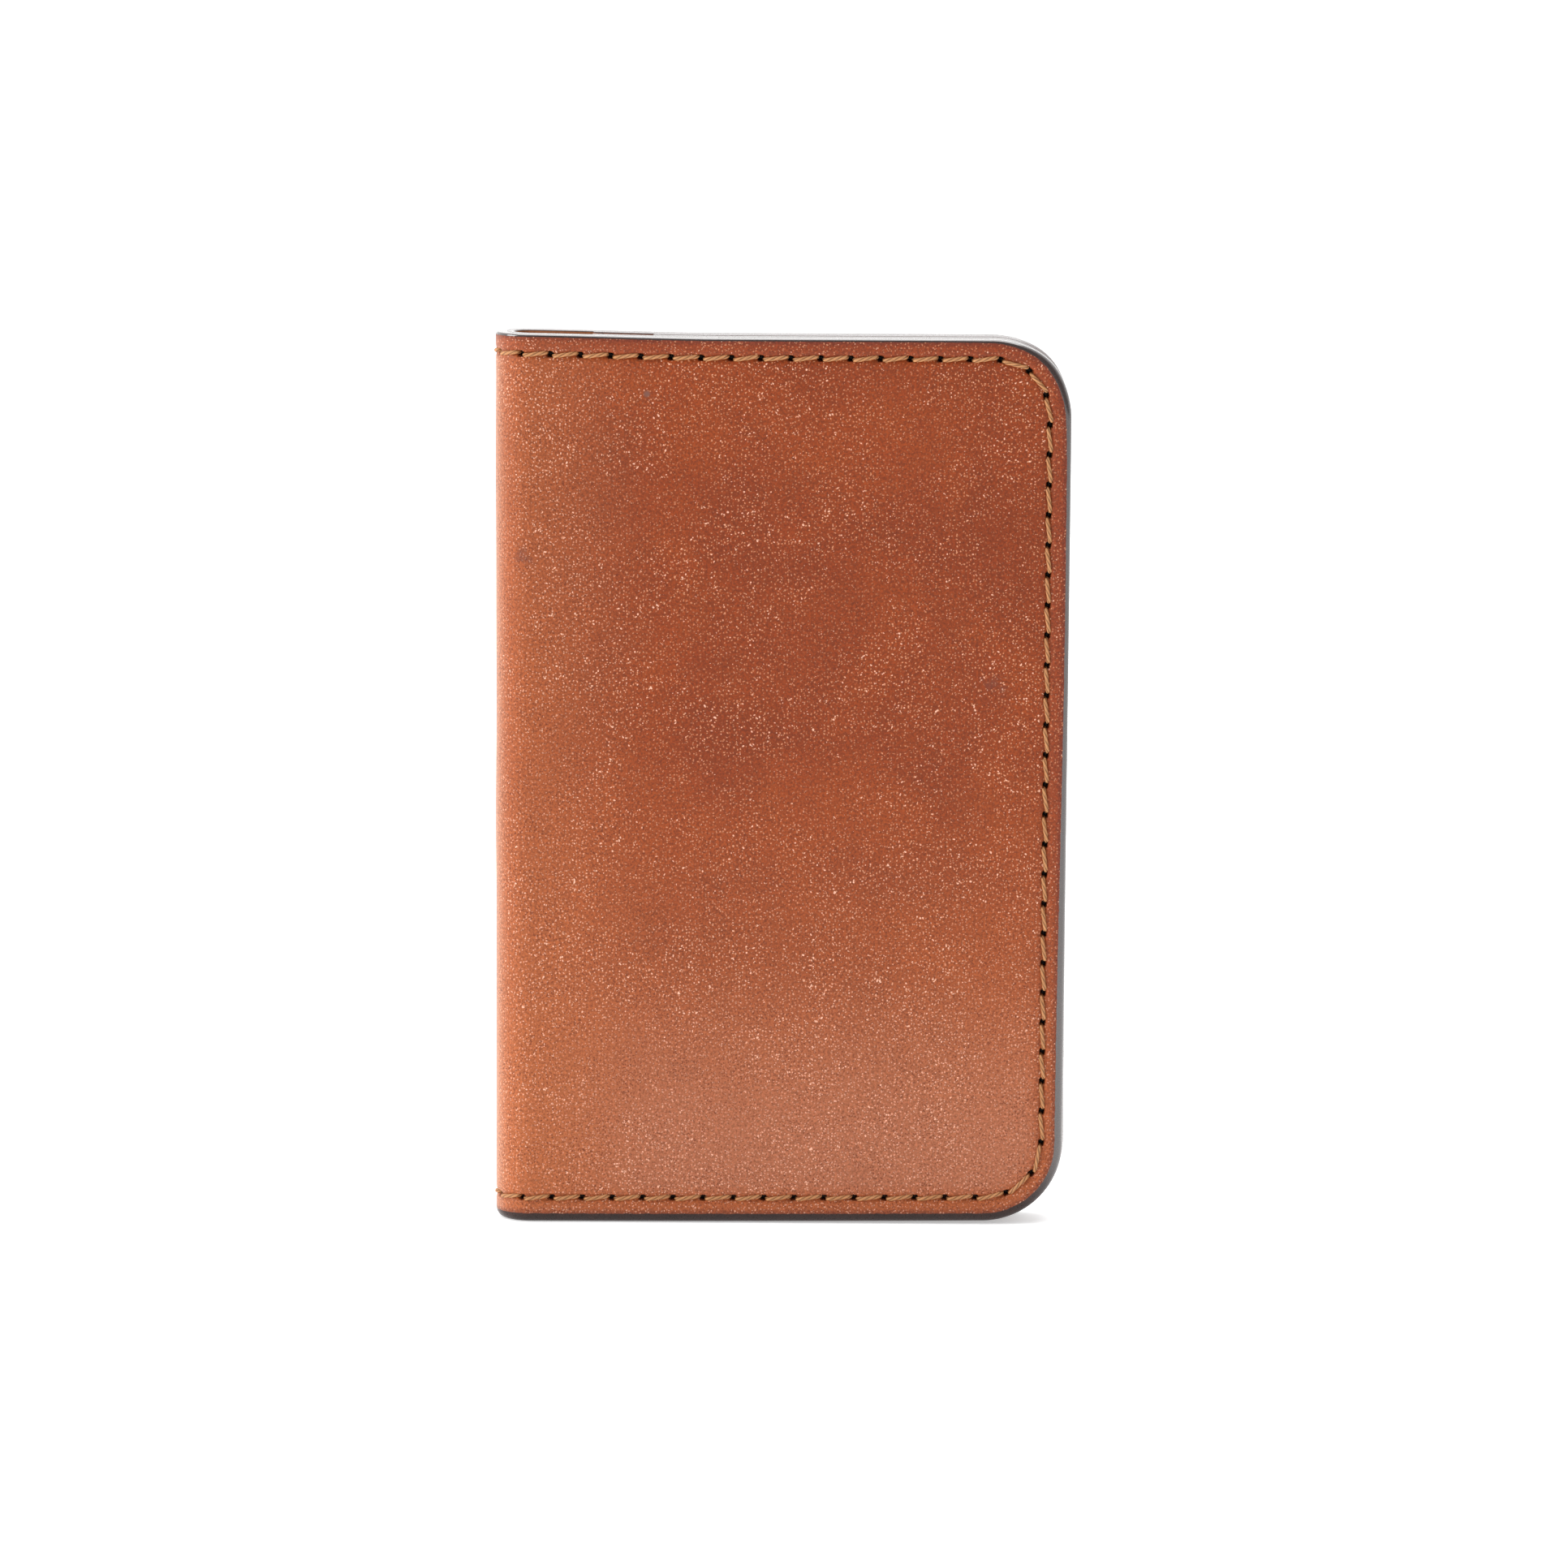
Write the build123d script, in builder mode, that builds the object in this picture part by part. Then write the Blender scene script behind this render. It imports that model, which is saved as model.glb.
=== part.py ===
from build123d import *
import os
from math import cos, degrees, pi, radians, sin, sqrt

# A leather card holder, closed and standing on its bottom edge, in millimetres. +Z is up, the
# spine is at -X and the open edge at +X, the front cover faces -Y and the back cover +Y.
height = 107.0
width = 68.6
corner_radius = 10.0
edge_rounding = 0.9

# Each cover from outside to inside: outer leather, lining, rear pocket and front pocket.
leather_thickness = 1.4
lining_thickness = 0.8
pocket_thickness = 0.8
cover_gap = 0.6
rear_mouth_x = -22.6
front_mouth_x = -15.4

# One thread runs round both covers, through awl holes at an even pitch that drifts a little.
stitch_count = 64
stitch_inset = 3.1
stitch_drift = 1.2
thread_size = 0.5
thread_depth = 0.45
stitch_break = 0.3
hole_radius = 0.4
groove_width = 1.1
groove_depth = 0.3

# The leather bends at two folds, 45 degrees each side of the spine's middle.
neutral_radius = 3.4
fold_slit = 0.1
fold_relief = 0.2

# Distances from the middle plane between the covers, which are also radii round the spine.
front_pocket_face = cover_gap / 2
rear_pocket_face = front_pocket_face + pocket_thickness
lining_face = rear_pocket_face + pocket_thickness
leather_face = lining_face + lining_thickness
outer_face = leather_face + leather_thickness
groove_floor = outer_face - groove_depth
pocket_groove_floor = front_pocket_face + groove_depth
spine_x = groove_floor + thread_depth - width / 2
open_x = width / 2

# A fold's axis stands where the unrolled spine is as long as its neutral line.
fold_offset = neutral_radius * pi / 4
fold_radius = fold_offset * sqrt(2)

stitch_x = open_x - stitch_inset
stitch_turn = corner_radius - stitch_inset
quarter_spine = outer_face * pi / 2
top_run = open_x - corner_radius - spine_x
corner_run = stitch_turn * pi / 2
stitch_length = 2 * (quarter_spine + top_run + corner_run) + height - 2 * corner_radius

print(f"spine axis x {spine_x:.3f}, folds at x {spine_x - fold_offset:.3f}, y +-{fold_offset:.3f}")
print(f"stitch pitch {stitch_length / stitch_count:.3f}, thickness {2 * outer_face:.2f}")


def stitch_travel(number):
    """Distance of an awl hole along the stitch line, from the middle of the spine's top."""
    share = (number + 0.5) / stitch_count
    return share * stitch_length - stitch_drift * sin(pi * share)


def stitch_point(travel):
    """x and z of the stitch line on the flat of a cover, at a distance from the spine's top."""
    if travel > stitch_length / 2:
        x, z = stitch_point(stitch_length - travel)
        return x, height - z
    past_spine = travel - quarter_spine
    turn = (past_spine - top_run) / stitch_turn
    if turn < 0:
        return spine_x + past_spine, height - stitch_inset
    if turn < pi / 2:
        return (
            stitch_x - stitch_turn * (1 - sin(turn)),
            height - corner_radius + stitch_turn * cos(turn),
        )
    return stitch_x, height - corner_radius - (past_spine - top_run - corner_run)


def spine_angle(travel):
    """Angle about the spine's axis, from +X towards the back cover, of a hole on the spine."""
    return 180 - degrees(min(travel, stitch_length - travel) / outer_face)


def inner_seat(x):
    """Distance from the middle plane at which the inner thread lies, x along the cover."""
    if x < rear_mouth_x:
        return lining_face
    return rear_pocket_face if x < front_mouth_x else pocket_groove_floor


def panel_plane(y):
    """Plane parallel to the covers, with its origin half way up."""
    return Plane(origin=(0, y, height / 2), x_dir=(1, 0, 0), z_dir=(0, -1, 0))


def radial_plane(angle, radius, z):
    """Plane at a radius from the spine's axis, whose normal points away from the axis."""
    way = Vector(cos(radians(angle)), sin(radians(angle)), 0)
    return Plane(origin=Vector(spine_x, 0, z) + way * radius, x_dir=(0, 0, 1), z_dir=way)


holes = [stitch_travel(number) for number in range(stitch_count)]
flat_holes = [stitch_point(travel) for travel in holes[2:-2]]
spine_ends = (
    (height - stitch_inset, spine_angle(holes[0]), spine_angle(holes[1]), flat_holes[0]),
    (stitch_inset, spine_angle(holes[-1]), spine_angle(holes[-2]), flat_holes[-1]),
)

# The awl holes of both covers, and the two slits and V notches that let the folds close up.
with BuildPart() as needle_holes:
    flat_places = [Plane(origin=(x, 0, z), z_dir=(0, 1, 0)) for x, z in flat_holes]
    with Locations(*flat_places):
        Cylinder(hole_radius, 4 * outer_face)
    for z, middle_angle, cover_angle, _ in spine_ends:
        for angle in (middle_angle, -middle_angle, cover_angle, -cover_angle):
            with Locations(radial_plane(angle, 0, z)):
                Cylinder(hole_radius, 2 * outer_face, align=(Align.CENTER, Align.CENTER, Align.MIN))

with BuildPart() as fold_cuts:
    for side in (1, -1):
        fold_plane = Plane(origin=(spine_x, 0, 0), x_dir=(-1, side, 0), z_dir=(0, 0, 1))
        notch_point = fold_radius - fold_relief
        notch_reach = 2 * outer_face
        half_slit = fold_slit / 2
        half_notch = half_slit + notch_reach - notch_point
        with BuildSketch(fold_plane):
            with BuildLine():
                Polyline(
                    (lining_face / 2, half_slit),
                    (notch_point, half_slit),
                    (notch_reach, half_notch),
                    (notch_reach, -half_notch),
                    (notch_point, -half_slit),
                    (lining_face / 2, -half_slit),
                    close=True,
                )
            make_face()
        extrude(amount=height)


def wrapped_sheet(inner_radius, outer_radius, rounding):
    """One sheet that covers the front, bends round the spine and covers the back."""
    with BuildPart() as sheet:
        with BuildSketch():
            with Locations((spine_x, 0)):
                Circle(outer_radius)
                Rectangle(open_x - spine_x, 2 * outer_radius, align=(Align.MIN, Align.CENTER))
                Circle(inner_radius, mode=Mode.SUBTRACT)
                Rectangle(
                    open_x - spine_x,
                    2 * inner_radius,
                    align=(Align.MIN, Align.CENTER),
                    mode=Mode.SUBTRACT,
                )
        extrude(amount=height)
        fillet(sheet.edges().filter_by(Axis.Y).group_by(Axis.X)[-1], corner_radius)
        if rounding:
            across = sheet.faces().sort_by(Axis.Y)
            outside = [across[0], across[-1], sheet.faces().sort_by(Axis.X)[0]]
            rim = [edge for face in outside for edge in face.edges()]
            fillet([edge for edge in rim if abs(edge.center().X - spine_x) > 0.01], rounding)
    return sheet.part


def groove_line(mouth_x):
    """Sketch of the stitch groove on a panel, from an x near the spine to the open edge."""
    half_run = height / 2 - stitch_inset
    with BuildSketch() as groove:
        with BuildLine():
            FilletPolyline(
                (mouth_x, half_run),
                (stitch_x, half_run),
                (stitch_x, -half_run),
                (mouth_x, -half_run),
                radius=stitch_turn,
            )
        trace(line_width=groove_width)
    return groove.sketch


# Outer leather: one strip with a stitch groove round it, cut at the two folds.
with BuildPart() as leather_strip:
    add(wrapped_sheet(leather_face, outer_face, edge_rounding))
    for side in (1, -1):
        with BuildSketch(panel_plane(side * groove_floor)):
            add(groove_line(spine_x))
        extrude(amount=-side * outer_face, mode=Mode.SUBTRACT)
    for z in (stitch_inset, height - stitch_inset):
        with BuildSketch(Plane.XY.offset(z - groove_width / 2)):
            with Locations((spine_x, 0)):
                Circle(2 * outer_face)
                Circle(groove_floor, mode=Mode.SUBTRACT)
                Rectangle(
                    2 * outer_face,
                    4 * outer_face,
                    align=(Align.MIN, Align.CENTER),
                    mode=Mode.SUBTRACT,
                )
        extrude(amount=groove_width, mode=Mode.SUBTRACT)
    add(needle_holes.part, mode=Mode.SUBTRACT)
    add(fold_cuts.part, mode=Mode.SUBTRACT)

# Lining: one thin strip inside it, cut at the same folds.
with BuildPart() as lining_strip:
    add(wrapped_sheet(lining_face, leather_face, 0))
    add(needle_holes.part, mode=Mode.SUBTRACT)
    add(fold_cuts.part, mode=Mode.SUBTRACT)

# Two stepped card pockets on the back cover, open towards the spine and sewn on three sides.
with BuildPart() as rear_pocket:
    with BuildSketch(panel_plane(rear_pocket_face)) as rear_outline:
        with Locations((rear_mouth_x, 0)):
            Rectangle(open_x - rear_mouth_x, height, align=(Align.MIN, Align.CENTER))
        fillet(rear_outline.vertices().group_by(Axis.X)[-1], corner_radius)
    extrude(amount=-pocket_thickness)
    add(needle_holes.part, mode=Mode.SUBTRACT)

with BuildPart() as front_pocket:
    with BuildSketch(panel_plane(front_pocket_face)) as front_outline:
        with Locations((front_mouth_x, 0)):
            Rectangle(open_x - front_mouth_x, height, align=(Align.MIN, Align.CENTER))
        fillet(front_outline.vertices().group_by(Axis.X)[-1], corner_radius)
    extrude(amount=-pocket_thickness)
    with BuildSketch(panel_plane(pocket_groove_floor)):
        add(groove_line(front_mouth_x))
    extrude(amount=groove_depth, mode=Mode.SUBTRACT)
    add(needle_holes.part, mode=Mode.SUBTRACT)

# Thread of the back cover: a bar outside and a bar inside for each stitch, and a leg through
# each hole. The stitch that crosses a fold is left out, because a stiff bar would bind there.
with BuildPart() as cover_thread:
    bar_rest = (Align.CENTER, Align.CENTER, Align.MIN)
    seats = [inner_seat(max(a[0], b[0])) for a, b in zip(flat_holes, flat_holes[1:])]
    for (x1, z1), (x2, z2), seat in zip(flat_holes, flat_holes[1:], seats):
        run = Vector(x2 - x1, 0, z2 - z1)
        for bed, way in ((groove_floor, 1), (seat, -1)):
            middle = ((x1 + x2) / 2, bed, (z1 + z2) / 2)
            with Locations(Plane(origin=middle, x_dir=run, z_dir=(0, way, 0))):
                Box(run.length - stitch_break, thread_size, thread_depth, align=bar_rest)
    outer_end = groove_floor + thread_depth / 2
    for (x, z), seat in zip(flat_holes, map(min, [lining_face] + seats, seats + [lining_face])):
        inner_end = seat - thread_depth / 2
        with Locations(Plane(origin=(x, inner_end, z), z_dir=(0, 1, 0))):
            Cylinder(thread_size / 2, outer_end - inner_end, align=bar_rest)
    for z, _, cover_angle, (flat_x, _) in spine_ends:
        with BuildSketch(Plane.XY.offset(z - thread_size / 2)):
            for bed in (groove_floor + thread_depth, lining_face):
                with BuildLine():
                    over = CenterArc((spine_x, 0), bed, 90, cover_angle - 90)
                    under = CenterArc((spine_x, 0), bed - thread_depth, 90, cover_angle - 90)
                    flat_end = flat_x - stitch_break / 2
                    Polyline(over @ 0, (flat_end, bed), (flat_end, bed - thread_depth), under @ 0)
                    Line(over @ 1, under @ 1)
                make_face()
        extrude(amount=thread_size)
        inner_end = lining_face - thread_depth / 2
        with Locations(radial_plane(cover_angle, inner_end, z)):
            Cylinder(thread_size / 2, outer_end - inner_end, align=bar_rest)

# Thread round the spine: one ring at the top and one at the bottom.
with BuildPart() as spine_thread:
    for z, middle_angle, _, _ in spine_ends:
        with BuildSketch(Plane.XY.offset(z - thread_size / 2)):
            for bed in (groove_floor + thread_depth, lining_face):
                with BuildLine():
                    sweep_angle = 2 * (180 - middle_angle)
                    over = CenterArc((spine_x, 0), bed, middle_angle, sweep_angle)
                    under = CenterArc((spine_x, 0), bed - thread_depth, middle_angle, sweep_angle)
                    Line(over @ 0, under @ 0)
                    Line(over @ 1, under @ 1)
                make_face()
        extrude(amount=thread_size)
        for angle in (middle_angle, -middle_angle):
            with Locations(radial_plane(angle, lining_face - thread_depth / 2, z)):
                Cylinder(thread_size / 2, outer_end - lining_face + thread_depth / 2, align=bar_rest)

os.makedirs("parts", exist_ok=True)

for strip, kind in ((leather_strip, "leather"), (lining_strip, "lining")):
    pieces = zip(("front", "spine", "back"), strip.solids().sort_by(Axis.Y))
    for place, solid in pieces:
        with BuildPart() as strip_piece:
            add(solid)
        strip_piece.part.label = f"{place}_{kind}"
        export_step(strip_piece.part, f"parts/{place}_{kind}.step")

cover_pieces = (
    (rear_pocket, "rear_pocket"),
    (front_pocket, "front_pocket"),
    (cover_thread, "stitching"),
)
for piece, kind in cover_pieces:
    piece.part.label = f"back_{kind}"
    export_step(piece.part, f"parts/back_{kind}.step")
    with BuildPart() as mirrored:
        mirror(piece.part, about=Plane.XZ)
    mirrored.part.label = f"front_{kind}"
    export_step(mirrored.part, f"parts/front_{kind}.step")

spine_thread.part.label = "spine_stitching"
export_step(spine_thread.part, "parts/spine_stitching.step")
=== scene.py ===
from math import atan, ceil, cos, pi, radians, sin

import bmesh
import bpy
import numpy as np
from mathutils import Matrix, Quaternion, Vector


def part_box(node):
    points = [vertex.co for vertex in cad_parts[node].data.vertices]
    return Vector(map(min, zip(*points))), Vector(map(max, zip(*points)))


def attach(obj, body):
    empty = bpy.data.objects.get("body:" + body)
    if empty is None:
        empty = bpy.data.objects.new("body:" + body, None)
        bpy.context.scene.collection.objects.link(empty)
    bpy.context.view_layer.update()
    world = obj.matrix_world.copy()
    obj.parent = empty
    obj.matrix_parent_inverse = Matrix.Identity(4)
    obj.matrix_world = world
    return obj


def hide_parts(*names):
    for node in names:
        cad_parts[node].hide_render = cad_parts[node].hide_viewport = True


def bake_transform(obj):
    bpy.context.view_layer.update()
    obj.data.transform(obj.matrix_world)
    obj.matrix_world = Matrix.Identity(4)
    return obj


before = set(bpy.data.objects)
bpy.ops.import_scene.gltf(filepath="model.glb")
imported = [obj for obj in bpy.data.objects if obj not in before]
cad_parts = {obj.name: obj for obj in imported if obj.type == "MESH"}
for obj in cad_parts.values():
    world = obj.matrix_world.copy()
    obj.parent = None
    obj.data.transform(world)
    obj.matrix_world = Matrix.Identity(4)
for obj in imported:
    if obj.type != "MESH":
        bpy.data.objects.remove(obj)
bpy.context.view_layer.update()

# The shapes are worked out in millimetres. A cover unrolls flat: s is the distance along its outer
# face from the middle of the spine, z the height, and depth the distance below its outer face.
MM = 0.001


def edge_mm(node, end, axis):
    """One coordinate of a CAD node's box, in millimetres. End 0 is the lowest corner."""
    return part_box(node)[end][axis] / MM


height = edge_mm("back_leather", 1, 2)
open_x = edge_mm("back_leather", 1, 0)
outer_face = edge_mm("back_leather", 1, 1)
leather_face = edge_mm("back_lining", 1, 1)
lining_face = edge_mm("back_rear_pocket", 1, 1)
rear_pocket_face = edge_mm("back_front_pocket", 1, 1)
front_pocket_face = edge_mm("back_front_pocket", 0, 1)
rear_mouth_x = edge_mm("back_rear_pocket", 0, 0)
front_mouth_x = edge_mm("back_front_pocket", 0, 0)
spine_x = edge_mm("spine_leather", 0, 0) + outer_face

# The outline and the stitch line, as in the CAD but for small unevennesses of hand work. The holes
# lag behind an even pitch: drift_sizes gives by how much at each of drift_shares of the line.
corner_radius = 9.6
stitch_count = 64
stitch_inset = 2.6
top_inset = 2.3
bottom_inset = 3.05
drift_shares = (0.0, 0.13, 0.26, 0.33, 0.674, 0.69, 0.74, 1.0)
drift_sizes = (0.0, 0.45, 1.2, 1.75, 1.9, 1.76, 0.4, 0.0)
thread_depth = 0.45
thread_width = 0.46
thread_height = 0.4
groove_depth = 0.3

quarter_spine = outer_face * pi / 2
open_s = quarter_spine + open_x - spine_x
stitch_turn = corner_radius - stitch_inset
top_run = open_s - corner_radius
corner_run = stitch_turn * pi / 2
stitch_length = 2 * (top_run + corner_run) + height - 2 * corner_radius
shares = (np.arange(stitch_count) + 0.5) / stitch_count
hole_travels = shares * stitch_length - np.interp(shares, drift_shares, drift_sizes)

BACK, FRONT = 1, -1
SIDE_NAMES = {BACK: "back", FRONT: "front"}

# The spine stands a little taller than the covers, the front cover's lower edge rises a little
# towards the open edge, the back cover's lower corner reaches a little further out, and the upper
# corners are a little fuller than an arc.
spine_rise = 0.42
spine_end, cover_start = 2.0, 30.0
front_lift = 0.4
low_reach = {BACK: 0.12, FRONT: -0.12}
corner_push = 0.25
push_inset = 3.0
push_reach = 4.0


# ---------------------------------------------------------------- places on the covers


def place(side, s, z, depth):
    """Points in space of points given on an unrolled cover, in metres, as an array of rows."""
    s, z, depth = np.broadcast_arrays(s, z, depth)
    low = (1 - z / height) * np.clip(s / open_s, 0, 1) ** 2
    z = z + spine_rise * (z / height) ** 2 * (1 - smooth(s, spine_end, cover_start))
    if side == FRONT:
        z = z + front_lift * low
    from_corner = np.hypot(s - open_s + push_inset, z - height + push_inset)
    push = corner_push * np.exp(-((from_corner / push_reach) ** 2))
    s = s + low_reach[side] * low + push
    z = z + push
    radius = outer_face - depth
    turn = np.minimum(s / outer_face, pi / 2)
    x = spine_x - radius * np.cos(turn) + np.maximum(s - quarter_spine, 0)
    y = side * radius * np.sin(turn)
    return np.stack([x, y, z], axis=-1).reshape(-1, 3) * MM


def away(side, s):
    """Unit vectors out of the outer face at each distance s."""
    turn = np.minimum(np.asarray(s) / outer_face, pi / 2)
    return np.stack([-np.cos(turn), side * np.sin(turn), np.zeros_like(turn)], axis=-1)


def outline(travel):
    """Points of a cover's outline (s, z) and the ways inwards, by travel along the stitch line."""
    lower = travel > stitch_length / 2
    short = np.where(lower, stitch_length - travel, travel)
    turn = np.clip((short - top_run) / stitch_turn, 0, pi / 2)
    down = np.maximum(short - top_run - corner_run, 0)
    s = np.minimum(short, top_run) + corner_radius * np.sin(turn)
    z = height - corner_radius * (1 - np.cos(turn)) - down
    z = np.where(lower, height - z, z)
    return s, z, -np.sin(turn), np.where(lower, np.cos(turn), -np.cos(turn))


def side_travel(s, z, band):
    """Distance along the stitch line of a point on the border of a cover's middle grid."""
    if z < height / 2:
        return stitch_length - side_travel(s, height - z, band)
    room = corner_radius - band
    over = max(s - top_run, 0) / room
    up = max(z - height + corner_radius, 0) / room
    if z > height - band - 1e-6:
        return min(s, top_run) + atan(over) * stitch_turn
    down = max(height - corner_radius - z, 0)
    return top_run + (pi / 2 - atan(up)) * stitch_turn + down


def smooth(value, low, high):
    """0 below low, 1 above high, and a smooth step between."""
    t = np.clip((value - low) / (high - low), 0, 1)
    return t * t * (3 - 2 * t)


def waves(s, z, seed):
    """A slow, even unevenness between -1 and 1."""
    total = np.zeros_like(np.asarray(s, float))
    draw = np.random.default_rng(seed)
    wavelengths = (31, 23, 17, 12)
    for length in wavelengths:
        angle, phase = draw.uniform(0, 2 * pi, 2)
        total = total + np.sin(2 * pi * (s * cos(angle) + z * sin(angle)) / length + phase)
    return total / len(wavelengths)


def round_the_cover(travel, above, beside, below):
    """A measure that changes from the top edge to the open edge and on to the bottom edge."""
    outside = smooth(travel, top_run, top_run + corner_run)
    under = smooth(travel, stitch_length - top_run - corner_run, stitch_length - top_run)
    return above + (beside - above) * outside + (below - beside) * under


def rim_rounding(travel):
    """Radius of the leather's outer edge: nearly square on top, rounder at the corner and below."""
    on_top, upper_side, lower_side, at_corner, underneath = 0.28, 0.5, 1.0, 0.4, 1.1
    down = smooth(travel, 0.4 * stitch_length, 0.68 * stitch_length)
    beside = upper_side + (lower_side - upper_side) * down
    from_corner = (travel - top_run - 0.6 * corner_run) / 5.0
    radius = round_the_cover(travel, on_top, beside, underneath)
    return radius + at_corner * np.exp(-(from_corner**2))


def inset(travel):
    """Distance of the stitches from the outline."""
    return round_the_cover(travel, top_inset, stitch_inset, bottom_inset)


# ---------------------------------------------------------------- leather sheets


def lines(start, end, step, extra=()):
    """Grid lines from start to end at most a step apart, and some extra ones."""
    count = ceil((end - start) / step)
    even = np.linspace(start, end, count + 1)
    kept = [v for v in even if all(abs(v - e) > 0.3 * step for e in extra)]
    return np.array(sorted({start, end, *kept, *extra}))


def hole_shape(travel, offset, slant):
    """1 inside the slanted awl holes and 0 outside, by distance along and off the stitch line."""
    half_length, half_width, skew = 0.44, 0.34, 0.45
    nearest = np.argmin(np.abs(travel[:, None] - hole_travels[None, :]), axis=1)
    along = travel - hole_travels[nearest] + slant * skew * offset
    straight = np.maximum(np.abs(along) / half_length, np.abs(offset) / half_width)
    rounded = np.hypot(along / half_length, offset / half_width)
    return 1 - smooth(0.7 * straight + 0.3 * rounded, 0.86, 1.12)


def stitch_bed(travel, offset):
    """Share of the thread bed's depth, deepest at the holes."""
    bed_width, hole_reach, between = 0.42, 0.9, 0.45
    gap = np.min(np.abs(travel[:, None] - hole_travels[None, :]), axis=1)
    across = np.exp(-((offset / bed_width) ** 2))
    at_hole = np.exp(-((gap / hole_reach) ** 2))
    return across * (between + (1 - between) * at_hole)


# The rim attribute well inside a sheet, where no edge paint reaches.
UNPAINTED = 9.0


def sheet(name, side, start, face, back, **shape):
    """A leather sheet on a cover, from start (s) to the open edge, as a closed mesh.

    face is the depth of its detailed side and back that of its plain side. The rows run from the
    middle of the detailed side out to the outline, round the edge and back under the sheet. shape
    has: step and rows, the spacing along and the distances in from the outline of the fine band;
    grid and extra, the spacing and the extra lines of the middle; rounding and arc, the radius of
    the detailed edge and its points; press, hole and swell, the depths of the thread's bed and the
    holes and the height of the waves; slant, the way the holes lean; mouth, where a crease runs.
    """
    band = 5.2
    under = 0.1
    step = shape["step"]
    rounding = shape["rounding"]
    mouth = shape.get("mouth", 0)
    sign = 1 if back > face else -1
    thick = abs(back - face)

    # Middle grid, whose corners are bent round to follow the outline.
    room = corner_radius - band
    corner_lines = 7
    s_lines = np.concatenate(
        [
            lines(start, top_run, shape["grid"], shape.get("extra", ())),
            np.linspace(top_run, open_s - band, corner_lines)[1:],
        ]
    )
    rising = np.linspace(band, corner_radius, corner_lines)[:-1]
    z_lines = np.concatenate(
        [
            rising,
            lines(corner_radius, height - corner_radius, shape["grid"]),
            (height - rising)[::-1],
        ]
    )
    s_grid, z_grid = np.meshgrid(s_lines, z_lines, indexing="ij")
    over = np.maximum(s_grid - top_run, 0) / room
    up = np.maximum(np.abs(z_grid - height / 2) - height / 2 + corner_radius, 0) / room
    both = (over > 0) & (up > 0)
    squeeze = np.where(both, np.maximum(over, up) / np.maximum(np.hypot(over, up), 1e-9), 1)
    top = z_grid > height / 2
    s_grid = np.where(both, top_run + over * squeeze * room, s_grid)
    bent_up = height - corner_radius + up * squeeze * room
    z_grid = np.where(both, np.where(top, bent_up, height - bent_up), z_grid)
    columns, levels = s_grid.shape

    # Stations along the border of the middle grid, and finer ones between them.
    border = [(i, levels - 1) for i in range(columns)]
    border += [(columns - 1, j) for j in range(levels - 2, -1, -1)]
    border += [(i, 0) for i in range(columns - 2, -1, -1)]
    coarse = [side_travel(s_lines[i], z_lines[j], band) for i, j in border]
    fine, marks = [coarse[0]], [0]
    for here, there in zip(coarse, coarse[1:]):
        parts = max(1, round((there - here) / step))
        fine += list(np.linspace(here, there, parts + 1)[1:])
        marks.append(len(fine) - 1)
    travel = np.array(fine)
    count = len(travel)

    # Rows: distance in from the outline, share of the thickness, and place for the edge paint,
    # which is 1 where the rounding begins, falls over the edge, and is well above 1 elsewhere.
    if callable(rounding):
        rounding = rounding(travel)
    rows = [(d, 0.0, d - rounding + 1) for d in shape["rows"]]
    arc = np.linspace(0, pi / 2, shape.get("arc", 7))
    rows += [(rounding * (1 - sin(a)), rounding * (1 - cos(a)) / thick, 1 - a) for a in arc]
    rows += [(0.0, 0.5 * (rounding + thick - under) / thick, -1.0)]
    arc = np.linspace(0, pi / 2, 4)
    rows += [(under * (1 - cos(a)), 1 - under * (1 - sin(a)) / thick, -2.0) for a in arc]
    rows += [(0.5 * band, 1.0, UNPAINTED), (rows[0][0], 1.0, UNPAINTED)]

    base_s, base_z, way_s, way_z = outline(travel)
    all_s, all_z, all_t, rim, pit, bed = [], [], [], [], [], []
    for index, (inward, share, mark) in enumerate(rows):
        all_s.append(base_s + way_s * inward)
        all_z.append(base_z + way_z * inward)
        all_t.append(np.broadcast_to(share, count))
        rim.append(np.broadcast_to(mark, count))
        if index < len(shape["rows"]):
            offset = inward - inset(travel)
            pit.append(hole_shape(travel, -offset, shape["slant"]))
            bed.append(stitch_bed(travel, offset))
        else:
            pit.append(np.zeros(count))
            bed.append(np.zeros(count))
    for share in (0.0, 1.0):
        all_s.append(s_grid.ravel())
        all_z.append(z_grid.ravel())
        all_t.append(np.full(s_grid.size, share))
        rim.append(np.full(s_grid.size, UNPAINTED))
        pit.append(np.zeros(s_grid.size))
        bed.append(np.zeros(s_grid.size))
    s, z, t = map(np.concatenate, (all_s, all_z, all_t))
    rim, pit, bed = map(np.concatenate, (rim, pit, bed))

    # Depth within the sheet: the pressed stitch line, the holes, a creased line and a soft mouth.
    sunk = thick * t + shape["press"] * bed + shape["hole"] * pit
    on_face = t < 1e-6
    if mouth:
        past = s - start
        crease_depth, crease_width, lip = 0.12, 0.13, 0.32
        crease = crease_depth * np.exp(-(((past - mouth) / crease_width) ** 2))
        sunk += np.where(on_face, crease, 0)
        roll = lip - np.sqrt(np.maximum(lip**2 - np.maximum(lip - past, 0) ** 2, 0))
        sunk = np.clip(sunk, roll, thick - roll)
    swell = shape.get("swell", 0.0)
    if swell:
        inner = smooth(np.where(on_face, rim, 0), 1.2, 8.5)
        sunk -= np.where(on_face, swell * inner * waves(s, z, seed=5), 0)
    depth = face + sign * sunk

    # Faces.
    def row(index):
        return index * count + np.arange(count)

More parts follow.
